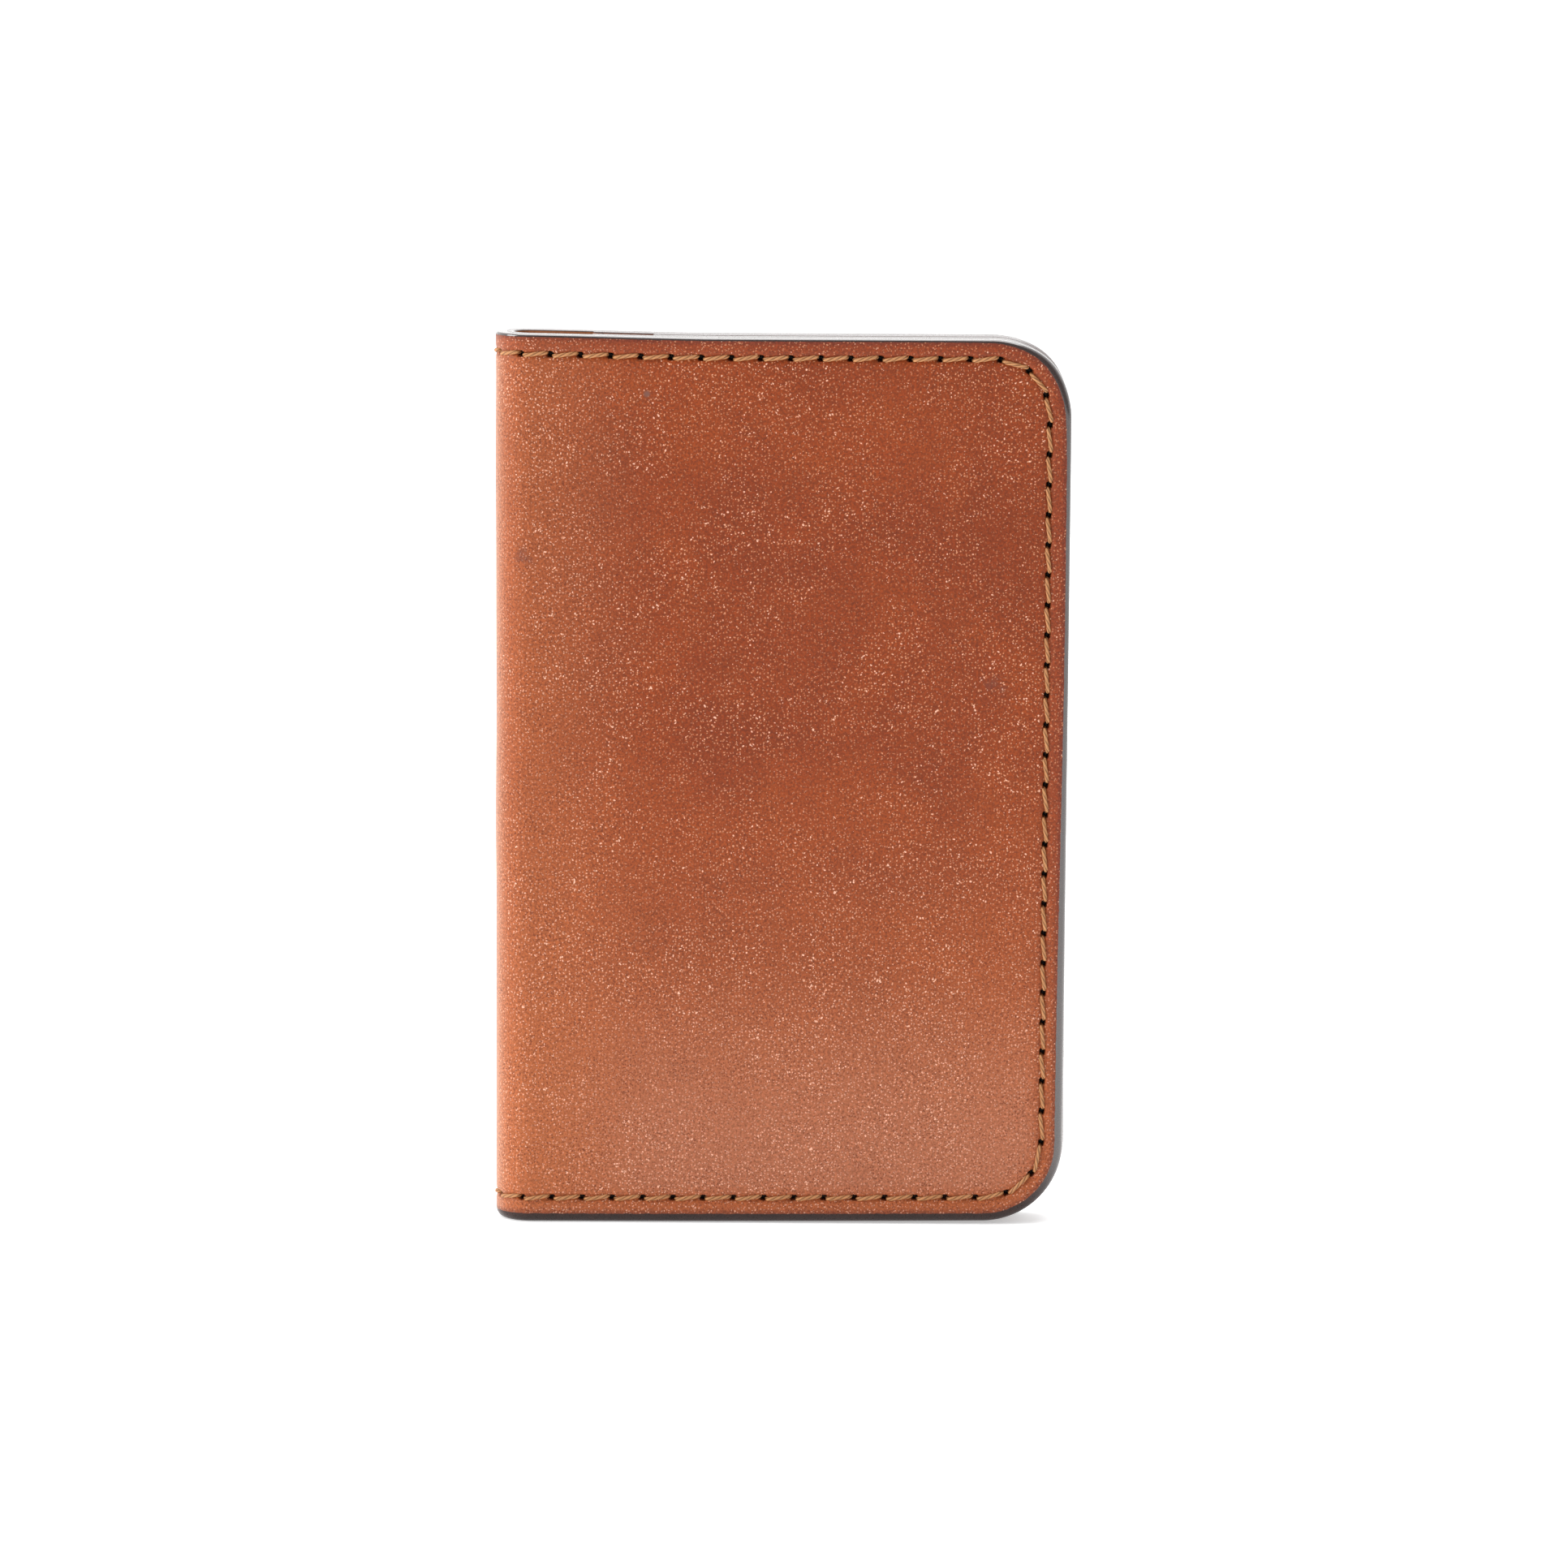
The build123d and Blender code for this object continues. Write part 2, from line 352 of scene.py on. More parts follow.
    faces = []
    for a in range(len(rows) - 1):
        upper, lower = row(a), row(a + 1)
        faces += np.stack([upper[:-1], upper[1:], lower[1:], lower[:-1]], axis=1).tolist()
    for grid_index, ring in ((0, row(0)), (1, row(len(rows) - 1))):
        first = len(rows) * count + grid_index * columns * levels
        numbers = first + np.arange(columns * levels).reshape(columns, levels)
        quads = [numbers[:-1, :-1], numbers[1:, :-1], numbers[1:, 1:], numbers[:-1, 1:]]
        faces += np.stack([q.ravel() for q in quads], axis=1).tolist()
        loop = [numbers[i, j] for i, j in border]
        for k in range(len(loop) - 1):
            near = ring[marks[k] : marks[k + 1] + 1]
            half = (len(near) - 1) // 2
            faces += [(loop[k], near[m], near[m + 1]) for m in range(half)]
            faces.append((loop[k], near[half], near[half + 1], loop[k + 1]))
            faces += [(loop[k + 1], near[m], near[m + 1]) for m in range(half + 1, len(near) - 1)]
    detail = len(rows) * count + np.arange(columns * levels).reshape(columns, levels)
    plain = detail + columns * levels
    for station, level in ((0, levels - 1), (count - 1, 0)):
        ring = [int(row(a)[station]) for a in range(len(rows))]
        faces.append([int(detail[0, level])] + ring + [int(plain[0, level])])
    walls = [detail[0, :-1], detail[0, 1:], plain[0, 1:], plain[0, :-1]]
    faces += np.stack(walls, axis=1).tolist()

    flat = np.stack([-side * s, depth, z], axis=1)
    piece = solid(name, place(side, s, z, depth), faces, sharp=radians(55))
    attribute(piece, "flat", flat)
    for label, values in (("rim", rim), ("pit", pit), ("bed", bed)):
        attribute(piece, label, values)
    return piece


def solid(name, points, faces, sharp=None):
    """A mesh object with its faces turned outwards and smooth shading."""
    mesh = bpy.data.meshes.new(name)
    mesh.from_pydata([tuple(p) for p in points.tolist()], [], [list(map(int, f)) for f in faces])
    shaped = bmesh.new()
    shaped.from_mesh(mesh)
    bmesh.ops.recalc_face_normals(shaped, faces=shaped.faces)
    for face in shaped.faces:
        face.smooth = True
    if sharp:
        for edge in shaped.edges:
            edge.smooth = edge.calc_face_angle(0) < sharp
    shaped.to_mesh(mesh)
    shaped.free()
    piece = bpy.data.objects.new(name, mesh)
    bpy.context.scene.collection.objects.link(piece)
    return piece


def attribute(piece, name, values):
    """Stores a number or a vector for each vertex, for the materials to read."""
    values = np.asarray(values, np.float32)
    vector = values.ndim == 2
    kind, field = ("FLOAT_VECTOR", "vector") if vector else ("FLOAT", "value")
    store = piece.data.attributes.new(name, kind, "POINT")
    store.data.foreach_set(field, values.ravel())


# ---------------------------------------------------------------- twisted thread


class Thread:
    """Tubes of twisted thread, gathered into one mesh."""

    AROUND = 15
    STRANDS = 3
    TURN_LENGTH = 3.1
    LOBE = 0.09

    def __init__(self):
        self.points = []
        self.faces = []
        self.flat = []

    def add(self, centre, out, width, thick, phase):
        """One tube along centre (metres), flattened along out, with sizes in millimetres."""
        along = np.gradient(centre, axis=0)
        along /= np.linalg.norm(along, axis=1)[:, None]
        across = np.cross(along, out)
        across /= np.linalg.norm(across, axis=1)[:, None]
        out = np.cross(across, along)
        steps = np.linalg.norm(np.diff(centre, axis=0), axis=1) / MM
        run = np.concatenate([[0], np.cumsum(steps)])
        first = sum(len(p) for p in self.points)
        angles = np.arange(self.AROUND) * 2 * pi / self.AROUND
        twist = phase + 2 * pi * run / self.TURN_LENGTH
        lobes = np.cos(self.STRANDS * (angles[None, :] - twist[:, None]))
        swell = 1 + self.LOBE * lobes
        side_way = (np.cos(angles) * width / 2)[None, :] * swell * MM
        out_way = (np.sin(angles) * thick / 2)[None, :] * swell * MM
        ring = centre[:, None, :] + across[:, None, :] * side_way[..., None]
        ring = ring + out[:, None, :] * out_way[..., None]
        self.points.append(ring.reshape(-1, 3))
        turned = (angles[None, :] - twist[:, None]) * width / 2
        rows = np.broadcast_to(run[:, None] + 7 * phase, turned.shape)
        self.flat.append(np.stack([turned, rows, lobes], axis=-1).reshape(-1, 3))
        count = len(centre)
        number = first + np.arange(count * self.AROUND).reshape(count, self.AROUND)
        beside = np.roll(number, -1, axis=1)
        quads = [number[:-1], beside[:-1], beside[1:], number[1:]]
        self.faces += np.stack([q.ravel() for q in quads], axis=1).tolist()
        self.faces += [number[0].tolist(), number[-1][::-1].tolist()]

    def piece(self, name):
        made = solid(name, np.concatenate(self.points), self.faces)
        attribute(made, "flat", np.concatenate(self.flat))
        return made


def stitch(thread, side, ends, slant, seat, out_sign, wobble):
    """One stitch between two hole frames, lying on a seat depth and diving into both holes.

    It starts and ends a gap away from the holes' middles and leans off the line by a slant. The
    dive is the thread's way down at an end: distances along it, and the depths there.
    """
    (s1, z1, ts1, tz1, ns1, nz1), (s2, z2, ts2, tz2, ns2, nz2) = ends
    gap = 0.50
    lean = slant * (0.15 + 0.06 * wobble[0])
    a = np.array([s1 + gap * ts1 - lean * ns1, z1 + gap * tz1 - lean * nz1])
    b = np.array([s2 - gap * ts2 + lean * ns2, z2 - gap * tz2 + lean * nz2])
    length = np.linalg.norm(b - a)
    way = (b - a) / length
    dive = np.array([-0.13, -0.12, -0.10, -0.06, 0.0, 0.09, 0.22, 0.38])
    sunk = np.array([1.10, 0.75, 0.50, 0.32, 0.18, 0.08, 0.02, 0.0])
    dive_length, middle_points = 0.6, 14
    middle = np.linspace(dive_length, length - dive_length, middle_points)
    run = np.concatenate([dive, middle, (length - dive)[::-1]])
    bow = 0.05 * np.sin(pi * np.clip(middle / length, 0, 1)) * (0.6 + 0.8 * wobble[1])
    drop = np.concatenate([sunk, -bow, sunk[::-1]])
    s = a[0] + way[0] * run
    z = a[1] + way[1] * run
    depth = seat + out_sign * drop
    if side is None:
        centre, out = spine_place(s, z, depth), spine_away(s)
    else:
        centre, out = place(side, s, z, depth), away(side, s)
    thread.add(centre, out * out_sign, thread_width, thread_height, 2 * pi * wobble[2])


def spine_place(s, z, depth):
    """Like place, for the unrolled spine, whose s is above 0 towards the front cover."""
    side = np.where(s < 0, BACK, FRONT)
    radius = outer_face - depth
    turn = np.abs(s) / outer_face
    x = spine_x - radius * np.cos(turn)
    return np.stack([x, side * radius * np.sin(turn), z], axis=-1) * MM


def spine_away(s):
    turn = np.abs(s) / outer_face
    side = np.where(s < 0, BACK, FRONT)
    return np.stack([-np.cos(turn), side * np.sin(turn), np.zeros_like(turn)], axis=-1)


def hole_frame(travel):
    """s and z of a point on the stitch line, with the ways along the line and outwards."""
    s, z, in_s, in_z = (float(v) for v in outline(np.array(travel)))
    s, z = s + in_s * float(inset(travel)), z + in_z * float(inset(travel))
    return s, z, -in_z, in_s, -in_s, -in_z


def inner_seat(x):
    """Distance from the middle plane at which the inner thread lies, x along the cover."""
    if x < rear_mouth_x:
        return lining_face
    return rear_pocket_face if x < front_mouth_x else front_pocket_face + groove_depth


def cover_threads(side):
    """The outer and the inner stitches of one cover."""
    draw = np.random.default_rng(31 + side)
    outside, inside = Thread(), Thread()
    frames = [hole_frame(travel) for travel in hole_travels]
    outer_seat = groove_depth - thread_depth / 2
    for ends in zip(frames, frames[1:]):
        stitch(outside, side, ends, -side, outer_seat, 1, draw.random(3))
        x = spine_x + max(end[0] for end in ends) - quarter_spine
        lie = outer_face - inner_seat(x) + thread_depth / 2
        stitch(inside, side, ends, side, lie, -1, draw.random(3))
    name = SIDE_NAMES[side]
    return outside.piece(f"{name}_thread_outside"), inside.piece(f"{name}_thread_inside")


def spine_thread():
    """The stitches over the middle of the spine, outside and inside, at the top and the bottom."""
    thread = Thread()
    reach = hole_travels[0]
    for z, phase in ((height + spine_rise - top_inset, 0.2), (bottom_inset, 0.7)):
        ends = [(-reach, z, 1, 0, 0, 1), (reach, z, 1, 0, 0, 1)]
        wobble = (0.5, 0.5, phase)
        stitch(thread, None, ends, 1, groove_depth - thread_depth / 2, 1, wobble)
        lie = outer_face - lining_face + thread_depth / 2
        stitch(thread, None, ends, -1, lie, -1, wobble)
    return thread.piece("spine_thread")


# ---------------------------------------------------------------- materials


class Shader:
    """A material's node tree, built up by adding nodes whose inputs are numbers or sockets."""

    def __init__(self, name):
        self.material = bpy.data.materials.new(name)
        self.material.use_nodes = True
        self.tree = self.material.node_tree
        self.tree.nodes.clear()

    def node(self, kind, inputs=None, **settings):
        made = self.tree.nodes.new("ShaderNode" + kind)
        for key, value in settings.items():
            setattr(made, key, value)
        for key, value in (inputs or {}).items():
            if isinstance(value, bpy.types.NodeSocket):
                self.tree.links.new(value, made.inputs[key])
            else:
                made.inputs[key].default_value = value
        return made

    def read(self, name):
        return self.node("Attribute", attribute_name=name)

    def noise(self, where, scale, detail=2.0, rough=0.5, distort=0.0):
        inputs = {
            "Vector": where,
            "Scale": scale,
            "Detail": detail,
            "Roughness": rough,
            "Distortion": distort,
        }
        return self.node("TexNoise", inputs).outputs["Fac"]

    def cells(self, where, scale):
        """Scattered cells on the sheet: the distance from each cell's centre, and its colour."""
        made = self.node("TexVoronoi", {"Vector": where, "Scale": scale}, voronoi_dimensions="2D")
        return made.outputs["Distance"], made.outputs["Color"]

    def sheet_place(self):
        """Places on the sheet: all three coordinates, without the depth, and two on their own."""
        where = self.read("flat").outputs["Vector"]
        along, _, up = self.node("SeparateXYZ", {0: where}).outputs
        flat = self.node("CombineXYZ", {0: along, 1: up}).outputs[0]
        return where, flat, along, up

    def math(self, operation, a, b=0.0):
        return self.node("Math", {0: a, 1: b}, operation=operation).outputs[0]

    def ramp(self, value, low, high, start=0.0, end=1.0):
        """A smooth step of value from low to high, giving start to end."""
        inputs = {
            "Value": value,
            "From Min": low,
            "From Max": high,
            "To Min": start,
            "To Max": end,
        }
        made = self.node("MapRange", inputs, interpolation_type="SMOOTHSTEP")
        return made.outputs["Result"]

    def mix(self, share, a, b, blend="MIX"):
        made = self.node("Mix", data_type="RGBA", blend_type=blend)
        for socket, value in ((made.inputs[0], share), (made.inputs[6], a), (made.inputs[7], b)):
            if isinstance(value, bpy.types.NodeSocket):
                self.tree.links.new(value, socket)
            else:
                socket.default_value = value
        return made.outputs[2]

    def stretch(self, where, scale):
        made = self.node("VectorMath", {0: where, 1: scale}, operation="MULTIPLY")
        return made.outputs[0]

    def shift(self, where, amount, scale):
        """Coordinates pushed about by a noise, so that round dots turn into uneven flecks."""
        inputs = {"Vector": where, "Scale": scale, "Detail": 1.0}
        noise = self.node("TexNoise", inputs).outputs["Color"]
        push = self.node("VectorMath", {0: noise, 1: (amount,) * 3}, operation="MULTIPLY")
        moved = self.node("VectorMath", {0: where, 1: push.outputs[0]}, operation="ADD")
        return moved.outputs[0]

    def bump(self, heights, strength, distance=0.00006):
        inputs = {"Height": heights, "Strength": strength, "Distance": distance}
        return self.node("Bump", inputs).outputs["Normal"]

    def finish(self, **inputs):
        settings = {key.replace("_", " "): value for key, value in inputs.items()}
        surface = self.node("BsdfPrincipled", settings)
        self.node("OutputMaterial", {"Surface": surface.outputs[0]})
        return self.material


def colour(red, green, blue):
    return (red, green, blue, 1.0)


def corner_wear(shader, along, up):
    """1 at the open edge's top corner, where handling has dulled the edge, and 0 elsewhere."""
    across = shader.ramp(shader.math("ABSOLUTE", along), open_s - 8.0, open_s - 3.5)
    return shader.math("MULTIPLY", across, shader.ramp(up, height - 12.0, height - 6.0))


def painted_edge(shader, where, rim, width):
    """How far the burnished edge paint covers the leather, with a slightly uneven border."""
    unevenness = 0.22
    wave = shader.math("MULTIPLY", shader.noise(where, 0.9, 2.0), unevenness)
    border = shader.math("ADD", wave, width - unevenness / 2)
    past = shader.math("SUBTRACT", rim, border)
    return shader.ramp(past, -0.05, 0.06, 1.0, 0.0)


def near(shader, flat, centre, reach):
    """1 around a place on the sheet, fading out to 0 at that reach in millimetres."""
    spot = shader.node("VectorMath", {0: flat, 1: centre}, operation="DISTANCE").outputs["Value"]
    return shader.ramp(spot, 0.3 * reach, reach, 1.0, 0.0)


# Marks of wear on the front cover: distance from the middle of the spine and height, and reach.
SMUDGES = (((61.8, 65.4, 0.0), 2.4), ((5.6, 80.4, 0.0), 2.0))
NICK = ((20.4, 100.3, 0.0), 0.55)


def outer_leather():
    """Waxed bridle leather: mottled cognac, pale flecks of wax bloom, pores and painted edges."""
    shader = Shader("outer_leather")
    where, flat, along, up = shader.sheet_place()
    rim = shader.read("rim").outputs["Fac"]
    pit = shader.read("pit").outputs["Fac"]
    bed = shader.read("bed").outputs["Fac"]
    from_spine = shader.math("ABSOLUTE", along)

    cloud = shader.ramp(shader.noise(where, 0.055, 3.0, 0.55, 0.4), 0.34, 0.66)
    blotch = shader.ramp(shader.noise(where, 0.22, 3.0, 0.6, 0.6), 0.3, 0.7)
    base = shader.mix(cloud, colour(0.196, 0.029, 0.003), colour(0.256, 0.043, 0.005))
    base = shader.mix(shader.math("MULTIPLY", blotch, 0.45), base, colour(0.237, 0.035, 0.004))

    # Painted light: lighter and pinker towards the bottom, more orange towards the spine and paler
    # at the spine's edge. Redder at the rim.
    # Painted light bounced up from the floor: the lower part is painted lighter.
    low = shader.ramp(up, 62.0, 2.0)
    base = shader.mix(shader.math("MULTIPLY", low, 0.72), base, colour(0.41, 0.115, 0.038))
    # Painted reflection of the floor: pinker near the bottom, away from the spine and the rim.
    floor_reflection = shader.math("MULTIPLY", shader.ramp(up, 34.0, 6.0), shader.ramp(from_spine, 5.0, 24.0))
    floor_reflection = shader.math("MULTIPLY", floor_reflection, shader.ramp(rim, 2.2, 5.0, 0.0, 0.5))
    base = shader.mix(floor_reflection, base, colour(0.40, 0.155, 0.088))
    # Painted light from the left lamp: lighter and more orange towards the spine.
    left_light = shader.ramp(from_spine, 24.0, 3.0)
    base = shader.mix(shader.math("MULTIPLY", left_light, 0.45), base, colour(0.44, 0.13, 0.044))
    # Painted highlight where the light grazes the spine's edge: paler peach there.
    spine_edge_highlight = shader.ramp(from_spine, 4.2, 0.6)
    base = shader.mix(shader.math("MULTIPLY", spine_edge_highlight, 0.34), base, colour(0.55, 0.37, 0.26))
    higher = shader.ramp(up, 12.0, 60.0, 0.1, 0.5)
    margin = shader.math("MULTIPLY", shader.ramp(rim, 4.0, 2.4), higher)
    base = shader.mix(margin, base, colour(0.235, 0.041, 0.012))
    burnish = shader.ramp(rim, 1.75, 1.05, 0.0, 0.5)
    base = shader.mix(burnish, base, colour(0.10, 0.02, 0.014))

    # Fine grain and pores.
    grain = shader.noise(where, 3.4, 4.0, 0.7)
    grain_shade = shader.ramp(grain, 0.36, 0.64, 0.70, 1.28)
    base = shader.mix(1.0, base, grain_shade, "MULTIPLY")
    pores, _ = shader.cells(shader.shift(flat, 0.5, 1.6), 2.6)
    pore_mask = shader.ramp(pores, 0.1, 0.32, 1.0, 0.0)
    pore_room = shader.ramp(shader.noise(where, 0.3, 2.0), 0.4, 0.62, 0.45, 1.0)
    pore_share = shader.math("MULTIPLY", pore_mask, pore_room)
    base = shader.mix(shader.math("MULTIPLY", pore_share, 0.75), base, colour(0.12, 0.018, 0.004))

    # Wax bloom: small pale flecks, gathered into clouds and rare at the rim and near the spine.
    fine, fine_tint = shader.cells(shader.shift(flat, 0.45, 1.7), 2.5)
    fine_mask = shader.ramp(fine, 0.1, 0.3, 1.0, 0.0)
    chance = shader.node("SeparateXYZ", {0: fine_tint}).outputs[0]
    fine_mask = shader.math("MULTIPLY", fine_mask, shader.ramp(chance, 0.1, 0.95))
    flecks, _ = shader.cells(shader.shift(flat, 0.6, 1.3), 1.5)
    crowd = shader.noise(where, 0.085, 3.0, 0.6, 0.3)
    crowd = shader.ramp(crowd, 0.32, 0.6, 0.45, 1.0)
    crowd = shader.math("MULTIPLY", crowd, shader.ramp(rim, 1.6, 3.8, 0.8, 1.0))
    crowd = shader.math("MULTIPLY", crowd, shader.ramp(from_spine, 1.0, 8.0, 0.8, 1.0))
    size = shader.ramp(shader.noise(where, 0.9), 0.38, 0.72, 0.0, 0.22)
    inside = shader.math("SUBTRACT", shader.math("MULTIPLY", crowd, size), flecks)
    fleck_mask = shader.ramp(inside, 0.0, 0.06)
    fine_share = shader.math("MULTIPLY", shader.math("MULTIPLY", fine_mask, crowd), 0.85)
    # The fine flecks are painted paler where the painted light above falls.
    pale = shader.math("MAXIMUM", low, left_light)
    fine_colour = shader.mix(pale, colour(0.66, 0.29, 0.15), colour(0.80, 0.43, 0.29))
    base = shader.mix(fine_share, base, fine_colour)
    fleck_share = shader.math("MULTIPLY", fleck_mask, 0.82)
    base = shader.mix(fleck_share, base, colour(0.88, 0.51, 0.36))

    # Two faint smudges and a small nick on the front cover.
    broken = shader.ramp(shader.noise(where, 0.8, 3.0), 0.42, 0.62, 0.0, 0.5)
    smudges = shader.math("ADD", *(near(shader, flat, centre, reach) for centre, reach in SMUDGES))
    base = shader.mix(shader.math("MULTIPLY", smudges, broken), base, colour(0.13, 0.035, 0.022))
    base = shader.mix(near(shader, flat, *NICK), base, colour(0.17, 0.07, 0.05))

    # The thread's bed is burnished, and the awl holes are painted near-black: painted shade in the
    # holes.
    base = shader.mix(shader.math("MULTIPLY", bed, 0.45), base, colour(0.33, 0.075, 0.014))
    base = shader.mix(pit, base, colour(0.014, 0.006, 0.004))
    edge = painted_edge(shader, where, rim, 1.0)
    edge_grain = shader.noise(shader.stretch(where, (0.35, 2.5, 0.35)), 2.4, 3.0)
    edge_colour = shader.mix(edge_grain, colour(0.013, 0.0055, 0.0045), colour(0.038, 0.017, 0.014))
    base = shader.mix(edge, base, edge_colour)

    polish = shader.math("MULTIPLY", edge, shader.ramp(up, 1.5, 9.0, 0.06, 1.0))
    rough = shader.ramp(grain, 0.3, 0.7, 0.44, 0.56)
    rough = shader.math("SUBTRACT", rough, shader.math("MULTIPLY", edge, 0.2))
    heights = shader.math("ADD", grain, shader.math("MULTIPLY", pore_mask, -0.55))
    heights = shader.math("ADD", heights, shader.math("MULTIPLY", fleck_mask, 0.25))
    normal = shader.bump(heights, 0.35)
    return shader.finish(
        Base_Color=base, Roughness=rough, Normal=normal, Specular_IOR_Level=0.25,
        Coat_Weight=polish, Coat_Roughness=0.12, Coat_IOR=1.8,
        Sheen_Weight=0.06, Sheen_Roughness=0.4, Sheen_Tint=colour(1.0, 0.86, 0.76),
    )


def plain_leather(name, light, dark, edge_dark):
    """Smooth leather for the lining and the pockets, with a fine grain and burnished edges."""
    shader = Shader(name)
    where, flat, along, up = shader.sheet_place()
    rim = shader.read("rim").outputs["Fac"]
    pit = shader.read("pit").outputs["Fac"]
    bed = shader.read("bed").outputs["Fac"]
    cloud = shader.ramp(shader.noise(where, 0.07, 4.0, 0.5, 0.2), 0.2, 0.8)
    base = shader.mix(cloud, dark, light)
    grain = shader.noise(where, 2.4, 5.0, 0.7)
    base = shader.mix(1.0, base, shader.ramp(grain, 0.25, 0.75, 0.86, 1.12), "MULTIPLY")
    pores, _ = shader.cells(shader.shift(flat, 0.4, 1.5), 1.9)
    pores = shader.ramp(pores, 0.07, 0.22, 1.0, 0.0)
    base = shader.mix(shader.math("MULTIPLY", pores, 0.35), base, edge_dark)
    base = shader.mix(shader.math("MULTIPLY", bed, 0.35), base, edge_dark)
    # Painted shade: the awl holes are painted near-black.
    base = shader.mix(pit, base, colour(0.008, 0.004, 0.003))
    edge = painted_edge(shader, where, rim, 0.9)
    base = shader.mix(edge, base, colour(0.055, 0.026, 0.02))
    rough = shader.ramp(grain, 0.3, 0.7, 0.46, 0.6)
    rough = shader.math("SUBTRACT", rough, shader.math("MULTIPLY", edge, 0.2))
    heights = shader.math("ADD", grain, shader.math("MULTIPLY", pores, -0.6))
    normal = shader.bump(heights, 0.3)
    dull = shader.math("MULTIPLY", corner_wear(shader, along, up), -0.85)
    polish = shader.math("MULTIPLY", edge, shader.math("ADD", dull, 0.9))
    return shader.finish(
        Base_Color=base, Roughness=rough, Normal=normal, Specular_IOR_Level=0.35,
        Coat_Weight=polish, Coat_Roughness=0.12,
    )


def waxed_thread():
    """Ochre thread of three twisted strands, with fine fibres and painted shade in the grooves
    between them.
    """
    shader = Shader("waxed_thread")
    where = shader.read("flat").outputs["Vector"]
    lobe = shader.node("SeparateXYZ", {0: where}).outputs[2]
    fibre_way = shader.stretch(where, (9.0, 1.1, 0.0))
    fibres = shader.noise(fibre_way, 1.6, 4.0, 0.65)
    tone = shader.noise(shader.stretch(where, (0.4, 0.4, 0.0)), 1.2, 2.0)
    base = shader.mix(tone, colour(0.40, 0.17, 0.058), colour(0.54, 0.26, 0.11))
    base = shader.mix(1.0, base, shader.ramp(fibres, 0.25, 0.75, 0.72, 1.25), "MULTIPLY")
    # Painted shade in the grooves between the strands.
    furrow_shade = shader.ramp(lobe, -1.0, 0.1, 0.85, 0.0)
    base = shader.mix(furrow_shade, base, colour(0.13, 0.045, 0.012))
    normal = shader.bump(fibres, 0.5, distance=0.00004)
    return shader.finish(
        Base_Color=base, Roughness=0.58, Normal=normal, Specular_IOR_Level=0.35,
    )


# ---------------------------------------------------------------- the pieces


def bend(piece, side):
    """Bakes a piece's place into its mesh, for either cover alike."""
    if side == BACK:
        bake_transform(piece)
    else:
        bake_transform(piece)


def dress(piece, material, slot, *nodes):
    piece.data.materials.append(material)
    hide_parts(*nodes)


leather_finish = outer_leather()
lining_finish = plain_leather(
    "lining_leather",
    light=colour(0.44, 0.175, 0.072),
    dark=colour(0.36, 0.13, 0.05),
    edge_dark=colour(0.20, 0.06, 0.02),
)
pocket_finish = plain_leather(
    "pocket_leather",
    light=colour(0.38, 0.12, 0.042),
    dark=colour(0.30, 0.085, 0.028),
    edge_dark=colour(0.15, 0.04, 0.014),
)
thread_finish = waxed_thread()

# Extra lines by the spine's middle and at a pocket's mouth, and rows in from the outline, with
# the finest ones where the stitches are.
seam_lines = (0.08, 0.3, 0.65)
mouth_steps = (0.03, 0.1, 0.2, 0.32, 0.6, 0.95, 1.08, 1.2, 1.32, 1.45, 1.7)
stitch_rows = list(np.arange(3.6, 1.75, -0.09))
outer_rows = [4.6, 4.2, 3.9, 3.7] + stitch_rows + [1.65, 1.5, 1.35, 1.2]
inner_rows = [4.6, 3.9] + list(np.arange(3.6, 1.95, -0.16)) + [1.8, 1.4, 0.9, 0.45]
hidden_rows = [4.6, 3.6, 3.2, 2.9, 2.6, 2.3, 1.9, 1.2, 0.45]

for side in (BACK, FRONT):
    cover = SIDE_NAMES[side]
    leather_depth = outer_face - leather_face
    lining_depth = outer_face - lining_face
    rear_depth = outer_face - rear_pocket_face
    front_depth = outer_face - front_pocket_face

    leather = sheet(
        f"{cover}_cover_leather", side, 0.0, 0.0, leather_depth,
        step=0.15, grid=0.9, extra=seam_lines, rows=outer_rows, rounding=rim_rounding,
        press=0.34, hole=0.9, swell=0.06, slant=-side,
    )
    dress(leather, leather_finish, "outer_leather", f"{cover}_leather", "spine_leather")
    bend(leather, side)

    lining = sheet(
        f"{cover}_cover_lining", side, 0.0, lining_depth, leather_depth,
        step=0.4, grid=1.2, extra=seam_lines, rows=hidden_rows, rounding=0.16, arc=4,
        press=0.1, hole=0.3, slant=side,
    )
    dress(lining, lining_finish, "lining_leather", f"{cover}_lining", "spine_lining")
    bend(lining, side)

    pockets = (
        ("rear", rear_mouth_x, rear_depth, lining_depth, 0.4, hidden_rows, 0.1),
        ("front", front_mouth_x, front_depth, rear_depth, 0.2, inner_rows, groove_depth),
    )
    for kind, mouth_x, face, back, step, rows, press in pockets:
        start = quarter_spine + mouth_x - spine_x
        mouth_lines = [start + past for past in mouth_steps]
        pocket = sheet(
            f"{cover}_{kind}_card_pocket", side, start, face, back,
            step=step, grid=1.2, extra=mouth_lines, rows=rows, rounding=0.16, arc=4,
            mouth=1.2, press=press, hole=0.4, slant=side,
        )
        dress(pocket, pocket_finish, "pocket_leather", f"{cover}_{kind}_pocket")
        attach(pocket, f"{cover}_cover")

    for thread, radius in zip(cover_threads(side), (leather_face, lining_face)):
        dress(thread, thread_finish, "thread", f"{cover}_stitching")
        bend(thread, side)

middle_thread = spine_thread()
dress(middle_thread, thread_finish, "thread", "spine_stitching")
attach(middle_thread, "spine")


# ---------------------------------------------------------------- floor, light and camera


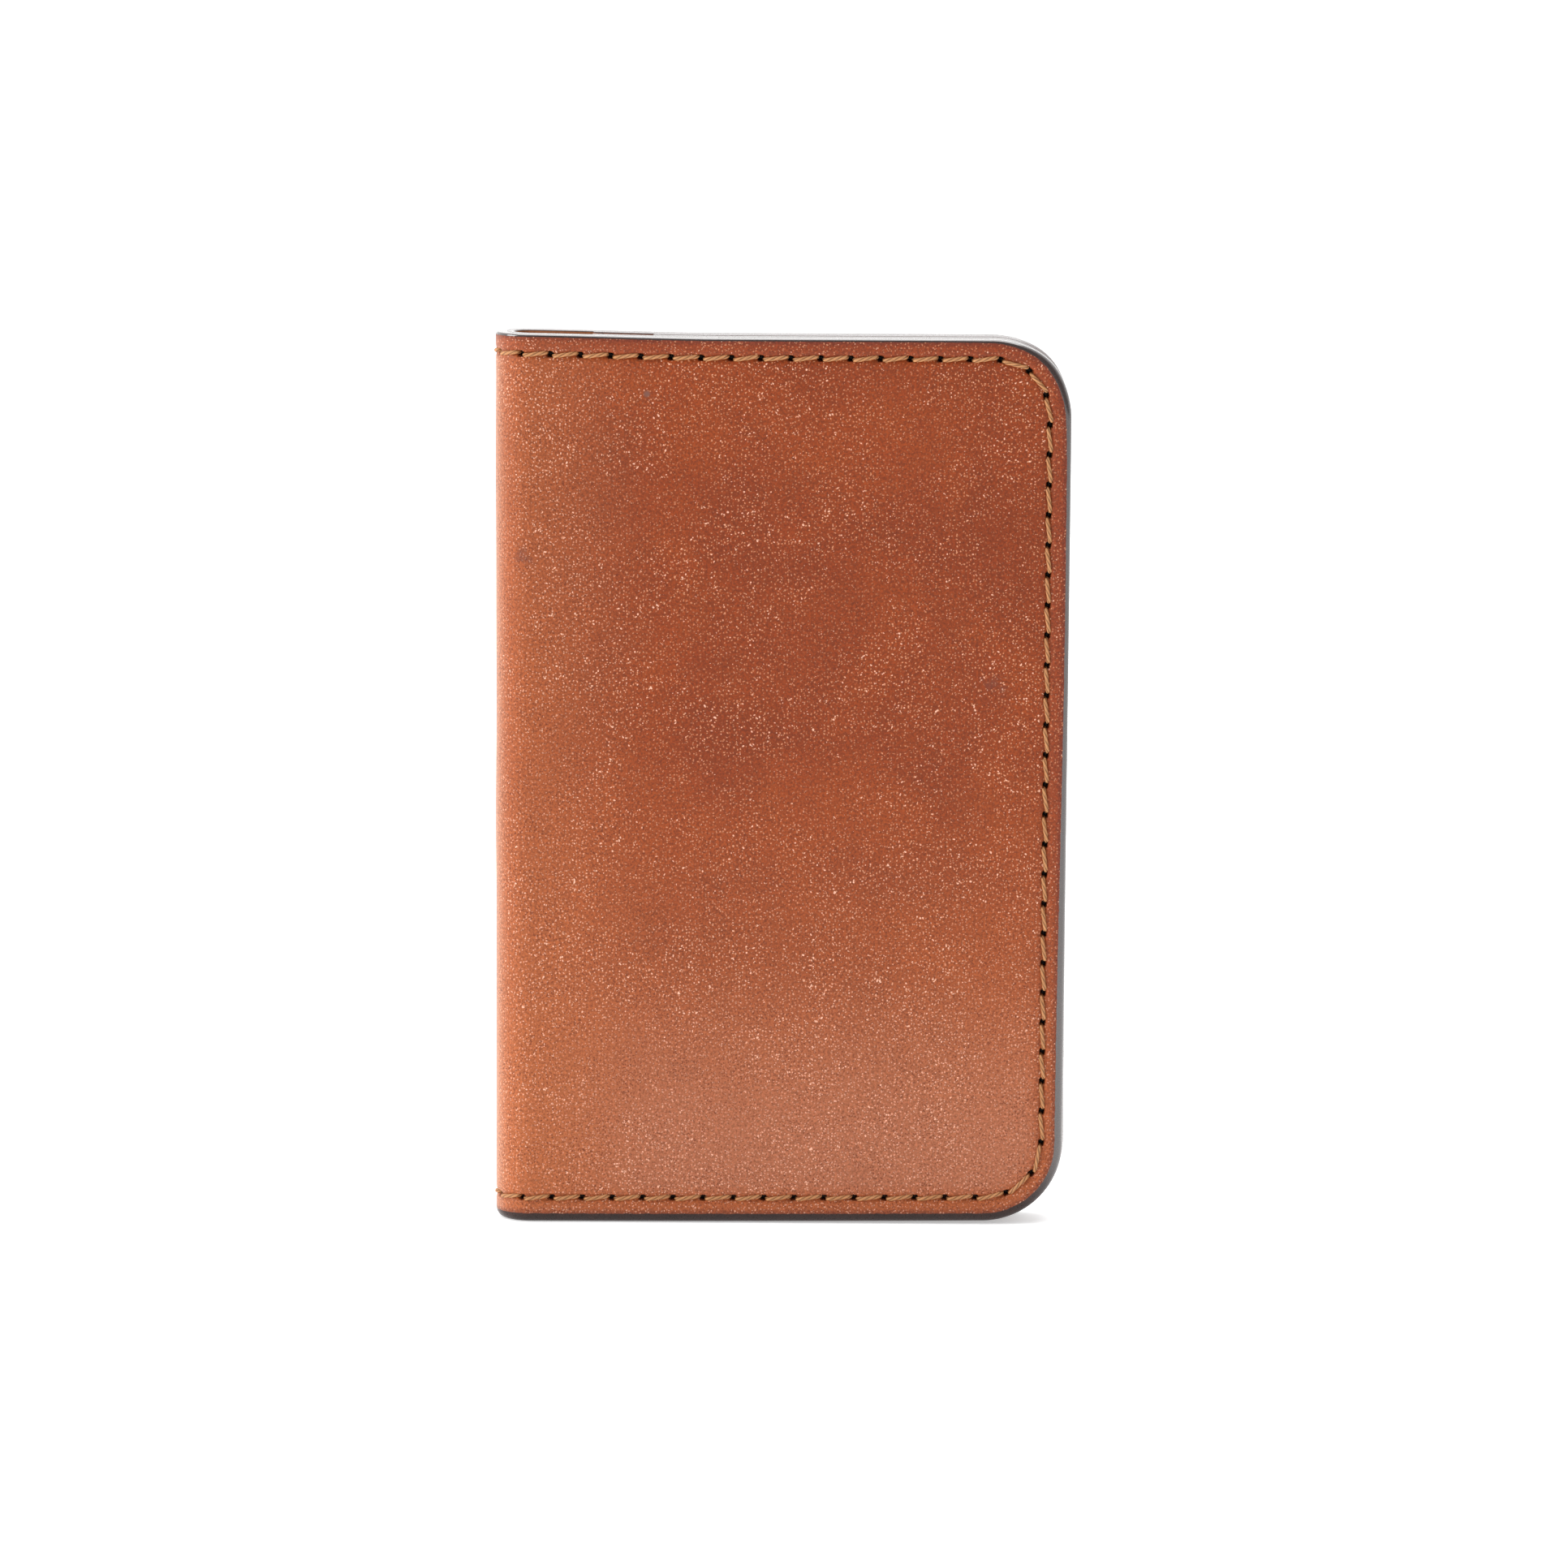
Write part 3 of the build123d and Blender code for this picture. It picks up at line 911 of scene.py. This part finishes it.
def studio_floor():
    """A plain pale floor, well beyond the view on every side."""
    half = 4.0
    corners = [(-half, -half, 0), (half, -half, 0), (half, half, 0), (-half, half, 0)]
    mesh = bpy.data.meshes.new("studio_floor")
    mesh.from_pydata(corners, [], [(0, 1, 2, 3)])
    floor = bpy.data.objects.new("studio_floor", mesh)
    bpy.context.scene.collection.objects.link(floor)
    shader = Shader("studio_floor")
    place_3d = shader.node("TexCoord").outputs["Object"]
    cloud = shader.noise(place_3d, 40.0, 3.0)
    tone = shader.mix(cloud, colour(0.87, 0.87, 0.87), colour(0.9, 0.9, 0.9))
    glow = dict(Emission_Color=colour(1.0, 1.0, 1.0), Emission_Strength=0.42)
    finish = shader.finish(Base_Color=tone, Roughness=0.7, Specular_IOR_Level=0.1, **glow)
    mesh.materials.append(finish)


def softbox(name, at, aim, size, power):
    """A square area light that points at a place."""
    light = bpy.data.lights.new(name, "AREA")
    light.shape = "SQUARE"
    light.size = size
    light.energy = power
    lamp = bpy.data.objects.new(name, light)
    lamp.location = at
    lamp.rotation_mode = "QUATERNION"
    lamp.rotation_quaternion = (Vector(aim) - Vector(at)).to_track_quat("-Z", "Y")
    bpy.context.scene.collection.objects.link(lamp)


def studio_world():
    """A bright room: white behind and above, dimmer on the camera's side."""
    world = bpy.data.worlds.new("studio")
    bpy.context.scene.world = world
    world.use_nodes = True
    tree = world.node_tree
    tree.nodes.clear()
    direction = tree.nodes.new("ShaderNodeTexCoord")
    parts = tree.nodes.new("ShaderNodeSeparateXYZ")
    tree.links.new(direction.outputs["Generated"], parts.inputs[0])
    fade = tree.nodes.new("ShaderNodeMapRange")
    fade.interpolation_type = "SMOOTHSTEP"
    tree.links.new(parts.outputs[1], fade.inputs["Value"])
    for key, value in (("From Min", -0.6), ("From Max", 0.5), ("To Min", 0.38), ("To Max", 1.8)):
        fade.inputs[key].default_value = value
    glow = tree.nodes.new("ShaderNodeBackground")
    tree.links.new(fade.outputs["Result"], glow.inputs["Strength"])
    out = tree.nodes.new("ShaderNodeOutputWorld")
    tree.links.new(glow.outputs[0], out.inputs["Surface"])


def photo_camera():
    """The camera, a little above the object, level with the front cover and slightly rolled."""
    elevation = radians(9.1)
    distance = 0.875
    view_width = 0.1882
    roll = radians(0.31)
    target = Vector((0.0004, 0.0, height / 2 * MM - 0.00045))
    back = Vector((0.0, -cos(elevation), sin(elevation)))
    lens = bpy.data.cameras.new("camera")
    lens.lens = lens.sensor_width * distance / view_width
    camera = bpy.data.objects.new("camera", lens)
    camera.location = target + back * distance
    camera.rotation_mode = "QUATERNION"
    level = (-back).to_track_quat("-Z", "Y")
    camera.rotation_quaternion = level @ Quaternion((0, 0, 1), roll)
    bpy.context.scene.collection.objects.link(camera)
    bpy.context.scene.camera = camera


studio_floor()
studio_world()
centre = (0.0, 0.0, height / 2 * MM)
softbox("left_softbox", (-0.9, -0.35, 0.55), centre, 0.6, 9.0)
softbox("top_softbox", (0.0, 0.15, 1.1), centre, 0.9, 9.0)
photo_camera()
bpy.context.scene.view_settings.view_transform = "Standard"
